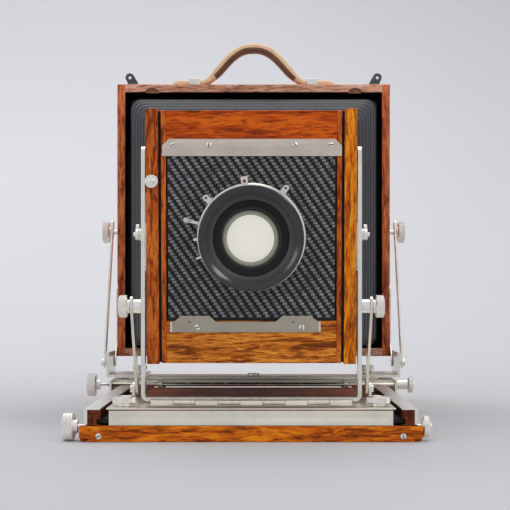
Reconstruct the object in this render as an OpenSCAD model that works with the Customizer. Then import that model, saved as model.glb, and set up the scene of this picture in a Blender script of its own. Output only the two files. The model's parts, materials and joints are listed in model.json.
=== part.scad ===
// Folding wooden 8x10 view camera on its extended bed.
// +Z up, lens towards -Y. The origin is the mouth of the tripod socket under the bed.

/* [Bed] */
// Half width of the rear bed
rear_half = 156; // [154:0.5:158]
// Half width of the front bed
front_half = 148; // [147:0.5:150]
// Thickness of the bed
bed_t = 13.5; // [13:0.1:13.6]
// Distance from the origin to the front edge of the bed
bed_front = 384; // [384:1:390]
// Radius of the tripod socket's wall (3/8 inch, tapping size)
socket_r = 3.97; // [3.9:0.01:4.2]

/* [Front standard] */
// Forward tilt of the front frame, in degrees
tilt = 4; // [3:0.5:5]
// Height of the front frame's pivot
pivot_z = 181; // [180:0.5:182]
// Distance of the front frame's pivot in front of the origin
pivot_y = 323; // [322:0.5:324]
// Half width of the front frame
frame_half = 94.5; // [94:0.1:94.6]
// Side of the lens board
board = 152.4; // [150:0.1:152.4]

/* [Lens] */
// Outer radius of the speed ring
ring_r = 49; // [46:0.5:50]
// Radius of the front rim
rim_r = 46; // [44:0.5:46]
// Radius of the filter thread
filter_r = 40; // [39:0.5:41]

/* [Rear standard] */
// Half width of the box
box_half = 158.5; // [158:0.1:159]
// Underside of the box
box_z0 = 55; // [55:0.5:56]
// Top of the box
box_z1 = 371; // [368:0.5:374]
// Thickness of the box walls
box_t = 9.3; // [8:0.1:10]

/* [Fits] */
// Radial clearance of a shaft in its bore
run = 0.06; // [0.04:0.01:0.08]
// Gap between faces that slide or turn past each other
gap = 0.3; // [0.2:0.05:0.35]

/* [Hidden] */
$fn = 64;
e = 0.01;                     // overshoot of a cut

hinge_y = -70;                // line between the two bed halves
knuckle_r = 3;
track_half = 122.5;
track_z0 = 15;
track_z1 = 27.5;
tongue = 132.6;               // reach of the track's tongues
rail_in = 130;                // guide rail, inner and outer faces
rail_out = 141;
gear_m = 0.8;                 // gear module
front_teeth = 10;
rear_teeth = 12;
shaft_r = 2.2;
fp_y = -372;                  // front pinion axis
fp_z = 12.2;
rp_y = -60;                   // rear pinion axis
rp_z = 26.8;
plate_z = 28.7;               // top of the front base plate
base_y = -341;                // axis of the piano hinge
base_z = 30.8;
yoke_in = 96;                 // yoke uprights
yoke_t = 3.5;
yoke_y = -331;                // yoke band, front and back
yoke_w = 16;
yoke_z0 = 30.6;
yoke_z1 = 261;
strut_base = [-272, 38];      // strut pivot and strut knob, [y, z]
strut_top = [-323, 116];
frame_lo = -116.8;            // front frame, in its own tilted frame
frame_hi = 112.8;
board_z = -1.6;               // middle of the lens board
swing_y = -22;                // axis of the swing
tilt_axis = [0, 50];          // rear tilt pivot, [y, z]
arm_base = [-40, 50.6];       // side arm pivot and knob, [y, z]
arm_top = [35, 200];
back_y = 80;                  // back of the box
film = [254, 203];            // picture opening

// A bar with its section in XZ between two Y values
module slab(x0, x1, y0, y1, z0, z1) {
  translate([x0, y0, z0]) cube([x1 - x0, y1 - y0, z1 - z0]);
}
// The same slab on both sides of the middle
module slabs(x0, x1, y0, y1, z0, z1) {
  slab(x0, x1, y0, y1, z0, z1);
  slab(-x1, -x0, y0, y1, z0, z1);
}
// Cylinders along X and Y, from one end to the other
module rod_x(r, x0, x1, y, z) {
  translate([x0, y, z]) rotate([0, 90, 0]) cylinder(r = r, h = x1 - x0);
}
module rod_y(r, y0, y1, x, z) {
  translate([x, y1, z]) rotate([90, 0, 0]) cylinder(r = r, h = y1 - y0);
}
module rod_z(r, z0, z1, x, y) {
  translate([x, y, z0]) cylinder(r = r, h = z1 - z0);
}
// Everything that follows the front frame's tilt
module tilted() {
  translate([0, -pivot_y, pivot_z]) rotate([tilt, 0, 0]) children();
}
// Outline of a straight strap with round ends between two points
module strap(a, b, r) {
  d = b - a;
  translate(a) circle(r = r);
  translate(b) circle(r = r);
  translate(a) rotate(atan2(d[1], d[0])) translate([0, -r]) square([norm(d), 2 * r]);
}
// Stands a [y, z] outline on edge, from x0 to x1
module on_edge(x0, x1) {
  translate([x0, 0, 0]) rotate([90, 0, 90]) linear_extrude(x1 - x0) children();
}
// Rectangle with round corners, centred
module round_rect(w, h, r) {
  square([w - 2 * r, h], center = true);
  square([w, h - 2 * r], center = true);
  for (x = [-1, 1], y = [-1, 1]) translate([x * (w / 2 - r), y * (h / 2 - r)]) circle(r = r);
}
// Turned knob along +Z: chamfered head, then a boss below it
module knob(r, h, boss_r, boss_h, bore = 0) {
  c = 1.2;
  difference() {
    rotate_extrude() polygon([
      [0, -boss_h], [boss_r, -boss_h], [boss_r, 0], [r - c, 0],
      [r, c], [r, h - c], [r - c, h], [0, h]
    ]);
    if (bore > 0) translate([0, 0, -boss_h - 1]) cylinder(r = bore, h = boss_h + h + 2);
  }
}
// The same knob along X, with its boss end at x
module knob_x(r, h, boss_r, boss_h, x, y, z, side) {
  translate([x, y, z]) rotate([0, side * 90, 0]) translate([0, 0, boss_h])
    knob(r, h, boss_r, boss_h);
}
// Gear with slim straight-sided teeth, along X
module gear(teeth, x0, x1, y, z) {
  r = teeth * gear_m / 2;
  p = PI * gear_m;
  root = r - 1.25 * gear_m;
  translate([x0, y, z]) rotate([90, 0, 90]) linear_extrude(x1 - x0) {
    circle(r = root);
    for (i = [0 : teeth - 1]) rotate(90 + i * 360 / teeth) polygon([
      [root - 0.5, -0.23 * p], [r, -0.15 * p], [r + 0.8 * gear_m, -0.05 * p],
      [r + 0.8 * gear_m, 0.05 * p], [r, 0.15 * p], [root - 0.5, 0.23 * p]
    ]);
  }
}
// Rack outline in [y, z] with its teeth towards +Z and a gap at y = 0
module rack_teeth(n0, n1, body) {
  p = PI * gear_m;
  deep = 1.25 * gear_m;
  translate([n0 * p, -deep - body]) square([(n1 - n0) * p, body]);
  for (i = [n0 : n1 - 1]) translate([(i + 0.5) * p, 0]) polygon([
    [-0.27 * p, -deep - 0.1], [-0.17 * p, 0], [-0.08 * p, 0.8 * gear_m],
    [0.08 * p, 0.8 * gear_m], [0.17 * p, 0], [0.27 * p, -deep - 0.1]
  ]);
}

// ---- Bed ----
module rear_bed() {
  color("saddlebrown") difference() {
    slab(-rear_half, rear_half, hinge_y + knuckle_r + gap, 70, 0, bed_t);
    translate([0, 0, -e]) cylinder(r = 34.2, h = 3 + e);
    rod_z(11.1, -e, bed_t + e, 0, 0);
    for (x = [-75, 75])
      slab(x - 22, x + 22, hinge_y, hinge_y + 24, bed_t - 1.5, bed_t + e);
  }
}
module tripod_plate() {
  color("silver") difference() {
    union() {
      cylinder(r = 34, h = 3);
      cylinder(r = 11, h = 13);
    }
    translate([0, 0, -e]) cylinder(r = socket_r, h = 12);
    for (a = [45 : 90 : 315]) rotate(a) translate([26, 0, -e]) cylinder(r1 = 3.4, r2 = 1.6, h = 2);
  }
}
module front_bed() {
  color("saddlebrown") difference() {
    slab(-front_half, front_half, -bed_front, hinge_y - knuckle_r - gap, 0, bed_t);
    slab(-124, 124, -360, -97, -e, bed_t + e);
    slab(-108, 108, -379, -366, 6, bed_t + e);
    rod_x(shaft_r + run, -front_half - e, front_half + e, fp_y, fp_z);
    slabs(107, front_half + e, fp_y - shaft_r - run, fp_y + shaft_r + run, fp_z, bed_t + e);
    slabs(141, front_half + e, -bed_front - e, -377, -e, 3);
    for (x = [-75, 75])
      slab(x - 22, x + 22, hinge_y - 24, hinge_y + e, bed_t - 1.5, bed_t + e);
  }
}
module bed_hinges() {
  color("gold") for (x = [-75, 75]) {
    slab(x - 22, x + 22, hinge_y - 24, hinge_y - 1, bed_t - 1.5, bed_t);
    slab(x - 22, x + 22, hinge_y + 1, hinge_y + 24, bed_t - 1.5, bed_t);
    rod_x(knuckle_r, x - 22, x + 22, hinge_y, bed_t - knuckle_r);
  }
}
module guide_rails() {
  color("sienna") {
    for (s = [-1, 1]) difference() {
      slab(min(s * rail_in, s * rail_out), max(s * rail_in, s * rail_out), -383, -95, bed_t, 27.5);
      slab(min(s * 129, s * 133), max(s * 129, s * 133), -384, -94, track_z0 - gap, 19.3);
      rod_x(shaft_r + 0.2, s * 136 - 8, s * 136 + 8, fp_y, fp_z);
    }
    slabs(rail_in, rail_out, -26, 68, bed_t, 27.9);
  }
}
module side_strips() {
  color("silver") {
    slabs(rail_out, 144, -383, -95, 15, 28.3);
    slabs(rail_in, rail_out + 1, -383, -95, 27.5, 28.3);
    for (y = [-350 : 60 : -110]) {
      rod_x(2, 143.9, 144.6, y, 21);
      rod_x(2, -144.6, -143.9, y, 21);
    }
    for (x = [-131, 131]) rod_y(2.6, -bed_front - 1, -bed_front, x, 5);
  }
}
module bed_racks() {
  pitch_z = rp_z - rear_teeth * gear_m / 2;
  color("gray") difference() {
    for (x = [-106, 100]) translate([0, rp_y, pitch_z]) on_edge(x, x + 6)
      rack_teeth(-15, 15, pitch_z - 1.25 * gear_m - bed_t);
    // split where the bed folds
    slab(-107, 107, hinge_y - gap, hinge_y + gap, bed_t - 1, pitch_z + 2);
  }
}

// ---- Front focusing ----
module track() {
  color("sienna") {
    slabs(106, track_half, -380, -100, track_z0, track_z1);
    slabs(track_half - e, tongue, -376, -100, track_z0, 19);
    slab(-106 - e, 106 + e, -380, -366, 21, track_z1);
    slab(-106 - e, 106 + e, -254, -112, 21.2, track_z1);
  }
}
module track_plate() {
  color("lightgray") difference() {
    slab(-track_half, track_half, -382, -380, track_z0 - 1, track_z1 - 0.8);
    for (x = [-116, 116]) translate([x, -382 - e, 21]) rotate([-90, 0, 0]) cylinder(r = 1, h = 0.5);
  }
}
module track_racks() {
  color("gray") for (x = [-106, 100])
    translate([0, fp_y, fp_z + front_teeth * gear_m / 2]) on_edge(x, x + 6)
      mirror([0, 1]) rack_teeth(-3, 51, 3.6);
}
module front_pinion() {
  color("silver") {
    rod_x(shaft_r, -150.4, front_half - 0.2, fp_y, fp_z);
    for (x = [-105.6, 100.4]) gear(front_teeth, x, x + 5.2, fp_y, fp_z);
  }
}
module front_focus_knob() {
  color("gainsboro") knob_x(12, 10, 6, 3, -150.5, fp_y, fp_z, -1);
}
module front_lock_knob() {
  color("gainsboro") {
    knob_x(9.3, 6, 5, 0.7, front_half + gap, fp_y, fp_z, 1);
    rod_x(2.5, 154.9, 156.8, fp_y, fp_z);
  }
}
module front_carriage() {
  color("silver") {
    difference() {
      slab(-125, 125, -381, -262, track_z1, plate_z);
      slab(-78, 78, -325, -278, track_z1 - e, plate_z + e);
    }
    // lower hinge knuckles
    for (x = [-80 : 40 : 80]) difference() {
      union() {
        rod_x(1.9, x - 9.8, x + 9.8, base_y, base_z);
        slab(x - 9.8, x + 9.8, base_y - 1.9, base_y + 1.9, plate_z - 0.2, base_z);
      }
      rod_x(1 + run, x - 10, x + 10, base_y, base_z);
    }
    // strut lugs
    for (x = [-112.6, 110.2]) difference() {
      union() {
        slab(x, x + 2.4, strut_base[0] - 6, strut_base[0] + 6, plate_z - e, strut_base[1]);
        rod_x(6, x, x + 2.4, strut_base[0], strut_base[1]);
      }
      rod_x(2 + run, x - 1, x + 4, strut_base[0], strut_base[1]);
    }
  }
}
module hinge_pin() {
  color("dimgray") rod_x(1, -92, 92, base_y, base_z);
}
module clamp_knob(x) {
  color("gainsboro") translate([x, -360, plate_z + gap]) translate([0, 0, 2.2]) knob(10.4, 6.5, 6.5, 2.2);
}
module left_clamp_knob() clamp_knob(-111.6);
module right_clamp_knob() clamp_knob(111.6);

// ---- Front standard ----
module yoke() {
  color("silver") {
    difference() {
      union() {
        slabs(yoke_in, yoke_in + yoke_t, yoke_y, yoke_y + yoke_w, yoke_z0 + 6, yoke_z1 - 8);
        for (s = [-1, 1]) on_edge(s > 0 ? yoke_in : -yoke_in - yoke_t, s > 0 ? yoke_in + yoke_t : -yoke_in)
          translate([yoke_y + 8, yoke_z1 - 8]) circle(r = 8);
      }
      for (s = [-1, 1]) on_edge(s > 0 ? 95 : -100.5, s > 0 ? 100.5 : -95)
        strap([-pivot_y, pivot_z - 25], [-pivot_y, pivot_z + 35], 3.4);
      rod_x(3 + run, -101, 101, strut_top[0], strut_top[1]);
    }
    slab(-yoke_in + 2.5, yoke_in - 2.5, yoke_y, yoke_y + yoke_w, yoke_z0, yoke_z0 + yoke_t);
    for (s = [-1, 1]) translate([s * (yoke_in - 2.5), yoke_y, yoke_z0 + 6]) rotate([-90, 0, 0])
      rotate(s > 0 ? 0 : 90) linear_extrude(yoke_w) intersection() {
        difference() {
          circle(r = 6);
          circle(r = 6 - yoke_t);
        }
        square(6);
      }
    // upper hinge leaf and knuckles
    for (x = [-60 : 40 : 60]) difference() {
      union() {
        rod_x(1.9, x - 9.8, x + 9.8, base_y, base_z);
        slab(x - 9.8, x + 9.8, base_y, yoke_y + 6, yoke_z0 - 1.2, yoke_z0 + e);
      }
      rod_x(1 + run, x - 10, x + 10, base_y, base_z);
    }
  }
}
module strut_slot() {
  d = strut_top - strut_base;
  u = d / norm(d);
  strap(strut_top - 2.6 * u, strut_top + 3.8 * u, 3.6);
}
module strut(x0) {
  d = strut_top - strut_base;
  u = d / norm(d);
  difference() {
    on_edge(x0, x0 + 2.4) strap(strut_base, strut_top + 3.8 * u, 6);
    on_edge(x0 - 1, x0 + 4) strut_slot();
  }
}
module struts() {
  color("silver") for (s = [-1, 1]) {
    strut(s > 0 ? 107.2 : -109.6);
    rod_x(2, s > 0 ? 109.5 : -113.6, s > 0 ? 113.6 : -109.5, strut_base[0], strut_base[1]);
    rod_x(3.6, s > 0 ? 112.8 : -114.8, s > 0 ? 114.8 : -112.8, strut_base[0], strut_base[1]);
  }
}
module strut_knob(s) {
  y = strut_top[0];
  z = strut_top[1];
  color("gainsboro") {
    knob_x(10, 8, 6.2, 2, s * 110.2, y, z, s);
    rod_x(3, s > 0 ? 96.2 : -110.3, s > 0 ? 110.3 : -96.2, y, z);
    // barrel between the yoke and the strut
    rod_x(6.6, s > 0 ? 99.8 : -106.9, s > 0 ? 106.9 : -99.8, y, z);
  }
}
module left_strut_knob() strut_knob(-1);
module right_strut_knob() strut_knob(1);
module rise_plates() {
  color("lightgray") for (s = [-1, 1]) {
    x0 = s > 0 ? 94.8 : -95.7;
    difference() {
      slab(x0, x0 + 0.9, -pivot_y - 8, -pivot_y + 8, 148, 191);
      rod_x(2.9, x0 - 1, x0 + 2, -pivot_y, pivot_z);
    }
    rod_x(2.9, s > 0 ? 86 : -99.9, s > 0 ? 99.9 : -86, -pivot_y, pivot_z);
    rod_x(5.5, s > 0 ? 99.8 : -101.4, s > 0 ? 101.4 : -99.8, -pivot_y, pivot_z);
    rod_x(2, s > 0 ? 101.3 : -107, s > 0 ? 107 : -101.3, -pivot_y, pivot_z);
  }
}
module tilt_lever(s) {
  color("gainsboro") difference() {
    on_edge(s > 0 ? 101.7 : -105, s > 0 ? 105 : -101.7) {
      translate([-pivot_y, pivot_z]) circle(r = 5);
      strap([-pivot_y, pivot_z], [-pivot_y + 3, pivot_z + 7], 2.4);
    }
    rod_x(2 + run, s > 0 ? 101 : -106, s > 0 ? 106 : -101, -pivot_y, pivot_z);
  }
}
module left_tilt_lever() tilt_lever(-1);
module right_tilt_lever() tilt_lever(1);

// ---- Front frame, in its tilted frame: front faces at y = -10 ----
module front_frame() {
  color("sienna") tilted() difference() {
    union() {
      slabs(83.5, frame_half, -10, 13, frame_lo, frame_hi);
      slab(-83.6, 83.6, 3, 13, frame_lo + 2, frame_hi - 2);
    }
    slab(-75, 75, 2, 14, -78, 78);
    slabs(81, 85.3, -4.4, 0.6, frame_lo - e, frame_hi + e);
    rod_x(2.9 + run, 85, 95, 0, 0);
    rod_x(2.9 + run, -95, -85, 0, 0);
  }
}
module frame_button() {
  color("gainsboro") tilted() {
    rod_y(5.9, -12.5, -10 - gap, -89.5, 48);
    rod_y(2.4, -14, -12.4, -89.5, 48);
  }
}
module front_panel() {
  color("peru") tilted() {
    slab(-81.3, 81.3, -8.6, 2.6, board_z + board / 2 - 0.2, frame_hi - 0.8);
    slab(-81.3, 81.3, -8.6, 2.6, frame_lo, board_z - board / 2 + 0.2);
    slabs(board / 2 - 0.2, 81.3, -8.6, 2.6, board_z - board / 2, board_z + board / 2);
    slabs(81.2, 85, -4, 0.2, frame_lo + 1, frame_hi - 1.8);
  }
}
module top_plate() {
  color("silver") tilted() {
    translate([0, -8.6, 0]) rotate([90, 0, 0]) linear_extrude(1.6) polygon([
      [-80, 70.6], [81, 70.6], [81, 80], [75, 85.9], [-74, 85.9], [-80, 80]
    ]);
    for (x = [-70, -38, 39, 71]) rod_y(2.6, -10.9, -10.1, x, 80.6);
  }
}
module lens_board() {
  color("black") tilted() difference() {
    slab(-board / 2 + 0.3, board / 2 - 0.3, -8.4, -3.4,
         board_z - board / 2 + 0.3, board_z + board / 2 - 0.3);
    rod_y(32 + run, -9, -3, 0, -2);
  }
}
module board_latch() {
  color("silver") tilted() difference() {
    translate([0, -8.9, 0]) rotate([90, 0, 0]) linear_extrude(1.5) polygon([
      [-73.6, -88], [62.6, -88], [62.6, -78], [58, -78], [55, -73], [24, -73], [21, -78],
      [-31, -78], [-34, -73], [-65, -73], [-68, -78], [-73.6, -78]
    ]);
    for (x = [-48.7, 45.4]) translate([x - 6, -11, -85]) cube([17, 3, 3.4]);
  }
}

// ---- Lens: axis along the tilted frame's -y at [0, -2] ----
module lens_ring(ro, ri, y0, y1) {
  difference() {
    rod_y(ro, y0, y1, 0, -2);
    rod_y(ri, y0 - 1, y1 + 1, 0, -2);
  }
}
// Places a child at an angle round the lens axis
module round_lens(a) {
  translate([0, 0, -2]) rotate([0, -a, 0]) children();
}
module shutter() {
  color("dimgray") tilted() difference() {
    union() {
      rod_y(45, -26, -8.7, 0, -2);
      rod_y(32, -9, -3.3, 0, -2);
      round_lens(97) slab(40, 55, -21.4, -18.3, -3.4, 3.4);
      for (a = [55, 139]) round_lens(a) difference() {
        slab(40, 57, -20, -18.4, -3.6, 3.6);
        rod_y(1.5, -21, -18, 53, 0);
      }
    }
    rod_y(29, -27, -2, 0, -2);
    // groove that the levers turn in
    lens_ring(46, 42.5, -24.3, -21.5);
  }
}
module speed_ring() {
  color("gainsboro") tilted() lens_ring(ring_r, 45 + gap, -17.6, -9.4);
}
module cocking_lever() {
  color("white") tilted() round_lens(165) {
    slab(43, 60, -23.6, -22.2, -1.5, 1.5);
    rod_y(2.6, -24.3, -21.7, 60, 0);
  }
}
module release_lever() {
  color("silver") tilted() round_lens(182) slab(43, 52, -23.6, -22.2, -1.3, 1.3);
}
module aperture_lever() {
  color("silver") tilted() round_lens(201) slab(43, 53, -23.6, -22.2, -1.3, 1.3);
}
module front_cell() {
  color("black") tilted() translate([0, 0, -2]) rotate([90, 0, 0]) rotate_extrude() polygon([
    [29 - run, 3.4], [29 - run, 26.2], [44, 26.2], [rim_r, 30], [rim_r, 50], [44.5, 53.5],
    [filter_r, 53.5], [filter_r, 48], [34, 40], [25.2, 37], [25.2, 20], [23.6, 20], [23.6, 3.4]
  ]);
}
module front_glass() {
  color("lightblue") tilted() translate([0, 0, -2]) rotate([90, 0, 0]) rotate_extrude() polygon([
    [0, 24], [25, 24], [25, 35], [20, 36.6], [12, 37.8], [0, 38.4]
  ]);
}
module rear_cell() {
  color("black") tilted() {
    lens_ring(31.5, 24.2, -3.1, 24);
    lens_ring(37, 32.1, -3.2, 2);
  }
}
module rear_glass() {
  color("lightblue") tilted() rod_y(24, 8, 20, 0, -2);
}

// ---- Bellows: a hollow tube, tapered in front of the box and straight inside it ----
module bellows_end(w, h, y, z, d = 1) {
  translate([0, y, z]) rotate([90, 0, 0]) linear_extrude(d) round_rect(w, h, 14, $fn = 32);
}
// The tube's outer or inner form. Its straight part is set off by step from the tapered part.
module bellows_shape(w, front_w, front_h, y_front, y_back, step) {
  hull() {
    bellows_end(w, w, 13, 211);
    tilted() bellows_end(front_w, front_h, y_front, 0);
  }
  bellows_end(w + step, w + step, y_back, 211, y_back - 12.5);
}
module bellows() {
  color("black") difference() {
    bellows_shape(290, 165, 190, 14.2, 64, -0.4);
    bellows_shape(272, 147, 172, 12.4, 66, 0.4);
  }
}

// ---- Rear focusing and swing ----
module rear_carriage() {
  color("silver") {
    difference() {
      slab(-158.7, 158.7, -50, 55, 28, 31.3);
      for (s = [-1, 1]) translate([0, swing_y, 27]) linear_extrude(6)
        for (a = [-9 : 1.5 : 9]) rotate(a) translate([s * 129, 0]) circle(r = 3.4, $fn = 24);
      slab(-95, 95, 0, 45, 27, 33);
    }
    // swing pivot
    rod_z(4, 28, 34.6, 0, swing_y);
    rod_z(7, 34.6, 37, 0, swing_y);
    for (s = [-1, 1]) difference() {
      slab(s > 0 ? 156.3 : -158.7, s > 0 ? 158.7 : -156.3, -68, 40, 10, 31.3);
      rod_x(shaft_r + run, s * 157.5 - 4, s * 157.5 + 4, rp_y, rp_z);
    }
  }
}
module rear_pinion() {
  color("silver") {
    rod_x(1.5, -169.3, -160, rp_y, rp_z);
    rod_x(shaft_r, -160.1, 170.6, rp_y, rp_z);
    for (x = [-105.6, 100.4]) gear(rear_teeth, x, x + 5.2, rp_y, rp_z);
    rod_x(5.3, 159, 170.6, rp_y, rp_z);
  }
}
module rear_focus_knob() {
  color("gainsboro") knob_x(12.7, 10.5, 5.5, 4, -169.3, rp_y, rp_z, -1);
}
module rear_lock_knob() {
  color("gainsboro") {
    knob_x(9, 5.6, 5, 0.3, 171, rp_y, rp_z, 1);
    rod_x(2, 176.8, 178.6, rp_y, rp_z);
  }
}
module swing_plate() {
  color("silver") difference() {
    slab(-140, 140, -40, 5, 31.6, 34.4);
    rod_z(4 + run, 31, 35, 0, swing_y);
    for (x = [-129, 129]) rod_z(2.6 + run, 31, 35, x, swing_y);
  }
}
module rear_brackets() {
  color("silver") for (s = [-1, 1]) difference() {
    union() {
      slab(s > 0 ? 119 : -163.5, s > 0 ? 163.5 : -119, -55, 10, 34.4, 37.4);
      slab(s > 0 ? 160.5 : -163.5, s > 0 ? 163.5 : -160.5, -55, 10, 34.4, 62);
    }
    rod_z(2.6 + run, 34, 38, s * 129, swing_y);
    rod_x(3 + run, s * 162 - 3, s * 162 + 3, tilt_axis[0], tilt_axis[1]);
    rod_x(2.4 + run, s * 162 - 3, s * 162 + 3, arm_base[0], arm_base[1]);
    slab(s * 141 - 13, s * 141 + 13, -50, -36, 34, 38);
  }
}
module swing_knob(x) {
  color("gainsboro") {
    translate([x, swing_y, 40.2]) knob(7.7, 6, 5, 2.6);
    rod_z(2.6, 28.4, 38, x, swing_y);
  }
}
module left_swing_knob() swing_knob(-129);
module right_swing_knob() swing_knob(129);

// ---- Rear standard ----
module rear_box() {
  z_mid = (box_z0 + box_z1) / 2;
  color("sienna") difference() {
    slab(-box_half, box_half, 10, back_y, box_z0, box_z1);
    slab(-box_half + box_t, box_half - box_t, 9, back_y + 1, box_z0 + box_t, box_z1 - box_t);
    for (x = [-118, 118]) rod_y(9, 9, 20, x, box_z1 - box_t - 3.9);
    slabs(box_half - 5, box_half + 1, 9, 13, 95, 139);
  }
  color("sienna") difference() {
    slab(-box_half + box_t - e, box_half - box_t + e, 66, back_y, box_z0 + box_t - e,
         box_z1 - box_t + e);
    slab(-135, 135, 65, back_y + 1, z_mid - 110, z_mid + 110);
  }
}
module box_plates() {
  color("silver") for (s = [-1, 1]) {
    x0 = s > 0 ? box_half : -box_half - 1.6;
    on_edge(x0, x0 + 1.6) {
      strap([tilt_axis[0], tilt_axis[1]], [20, 66], 6);
      strap([20, 66], [20, 130], 6);
    }
    rod_x(3, s > 0 ? box_half + 1.5 : -165.4, s > 0 ? 165.4 : -box_half - 1.5,
          tilt_axis[0], tilt_axis[1]);
  }
}
module side_arms() {
  d = arm_top - arm_base;
  u = d / norm(d);
  color("silver") for (s = [-1, 1]) {
    difference() {
      on_edge(s > 0 ? 165.8 : -168, s > 0 ? 168 : -165.8) strap(arm_base, arm_top + 9.6 * u, 6);
      on_edge(s > 0 ? 165 : -169, s > 0 ? 169 : -165)
        strap(arm_top - 6 * u, arm_top + 9.6 * u, 3.4);
    }
    rod_x(2.4, s > 0 ? 160.4 : -165.9, s > 0 ? 165.9 : -160.4, arm_base[0], arm_base[1]);
    rod_x(4, s > 0 ? 167.9 : -170.4, s > 0 ? 170.4 : -167.9, arm_base[0], arm_base[1]);
  }
}
module arm_knob(s) {
  y = arm_top[0];
  z = arm_top[1];
  color("gainsboro") {
    knob_x(12.4, 8, 6, 1.6, s * 168.4, y, z, s);
    rod_x(2.6, s > 0 ? box_half + gap : -168.5, s > 0 ? 168.5 : -box_half - gap, y, z);
  }
}
module left_arm_knob() arm_knob(-1);
module right_arm_knob() arm_knob(1);
// Frame of a strap lug's eye, which leans outwards
module lug_eye(s) {
  translate([s * 140, 0, box_z1 + 1]) rotate([0, s * 30, 0]) children();
}
module box_hardware() {
  for (s = [-1, 1]) {
    color("black") difference() {
      union() {
        slab(s * 142 - 5, s * 142 + 5, 12, 40, box_z1, box_z1 + 2);
        lug_eye(s) {
          slab(-5.2, 5.2, 14, 17, -2, 8.6);
          rod_y(5.2, 14, 17, 0, 8.6);
        }
      }
      lug_eye(s) rod_y(1.8, 13, 18, 0, 8.6);
      slab(-box_half, box_half, 11, 41, box_z1 - 9, box_z1);
    }
    color("silver") difference() {
      slab(s > 0 ? 62 : -75, s > 0 ? 75 : -62, 11.8, 35.4, box_z1, box_z1 + 7);
      slab(s > 0 ? 61 : -76, s > 0 ? 76 : -61, 13.6, 33.6, box_z1 - 1, box_z1 + 5.4);
    }
  }
}
// Middle line of the handle's arch, [x, z], for u from -1 to 1
function bell(u) = [62 * u, 2 + 21.1 * (1 + cos(180 * pow(abs(u), 1.25)))];
// The arch's top or underside, at d from the middle line and no lower than floor_z
function bell_side(u, d, floor_z) =
  let (v = bell(u + 0.005) - bell(u - 0.005))
  [62 * u, max(floor_z, bell(u)[1] + d * norm(v) / v[0])];
module handle() {
  steps = 48;
  tab = 4.6;
  color("burlywood") translate([0, 33.2, box_z1 + 0.2]) rotate([90, 0, 0]) linear_extrude(19.2)
    polygon(concat(
      [[-94, 0], [-94, tab], [-62, tab]],
      [for (i = [0 : steps]) bell_side(2 * i / steps - 1, 5.2, tab)],
      [[62, tab], [94, tab], [94, 0]],
      [for (i = [steps : -1 : 0]) bell_side(2 * i / steps - 1, -5.2, 0)]
    ));
}
module back_frame() {
  z_mid = (box_z0 + box_z1) / 2;
  color("sienna") difference() {
    slab(-box_half, box_half, back_y, back_y + 20, box_z0, box_z1);
    slab(-film[0] / 2, film[0] / 2, back_y - 1, back_y + 21, z_mid - film[1] / 2, z_mid + film[1] / 2);
    slabs(144, 159, back_y + 12, back_y + 21, z_mid - 60, z_mid + 60);
  }
}
module back_latch() {
  color("silver") {
    slab(-16, 16, 68, 96, box_z1 + gap, box_z1 + 2);
    rod_z(5, box_z1 + 1.9, box_z1 + 6, 0, 74);
  }
}
module back_springs() {
  z_mid = (box_z0 + box_z1) / 2;
  color("gold") {
    slabs(131, 148, back_y + 32.3, back_y + 33.3, z_mid - 8, z_mid + 8);
    slabs(131, 139, back_y + 32.3, back_y + 33.3, z_mid - 100, z_mid + 100);
    slabs(143.5, 148, back_y + 20, back_y + 32.4, z_mid - 8, z_mid + 8);
  }
}
module glass_holder() {
  z_mid = (box_z0 + box_z1) / 2;
  color("sienna") difference() {
    slab(-143, 143, back_y + 20, back_y + 32, z_mid - 122, z_mid + 122);
    slab(-film[0] / 2, film[0] / 2, back_y + 19, back_y + 33, z_mid - film[1] / 2, z_mid + film[1] / 2);
    slab(-130, 130, back_y + 26, back_y + 33, z_mid - 106, z_mid + 106);
  }
}
module ground_glass() {
  z_mid = (box_z0 + box_z1) / 2;
  color("lightcyan") slab(-129.5, 129.5, back_y + 26, back_y + 28.5, z_mid - 105.5, z_mid + 105.5);
}

rear_bed();
tripod_plate();
front_bed();
bed_hinges();
guide_rails();
side_strips();
bed_racks();
track();
track_plate();
track_racks();
front_pinion();
front_focus_knob();
front_lock_knob();
front_carriage();
hinge_pin();
left_clamp_knob();
right_clamp_knob();
yoke();
struts();
left_strut_knob();
right_strut_knob();
rise_plates();
left_tilt_lever();
right_tilt_lever();
front_frame();
frame_button();
front_panel();
top_plate();
lens_board();
board_latch();
shutter();
speed_ring();
cocking_lever();
release_lever();
aperture_lever();
front_cell();
front_glass();
rear_cell();
rear_glass();
bellows();
rear_carriage();
rear_pinion();
rear_focus_knob();
rear_lock_knob();
swing_plate();
rear_brackets();
left_swing_knob();
right_swing_knob();
rear_box();
box_plates();
side_arms();
left_arm_knob();
right_arm_knob();
box_hardware();
handle();
back_frame();
back_latch();
back_springs();
glass_holder();
ground_glass();
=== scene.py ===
# Looks of the folding wooden view camera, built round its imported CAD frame.
# Lengths are in metres. The lens looks along -Y and +Z is up.
import json
import math

import bmesh
import bpy
from mathutils import Matrix, Vector


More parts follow.
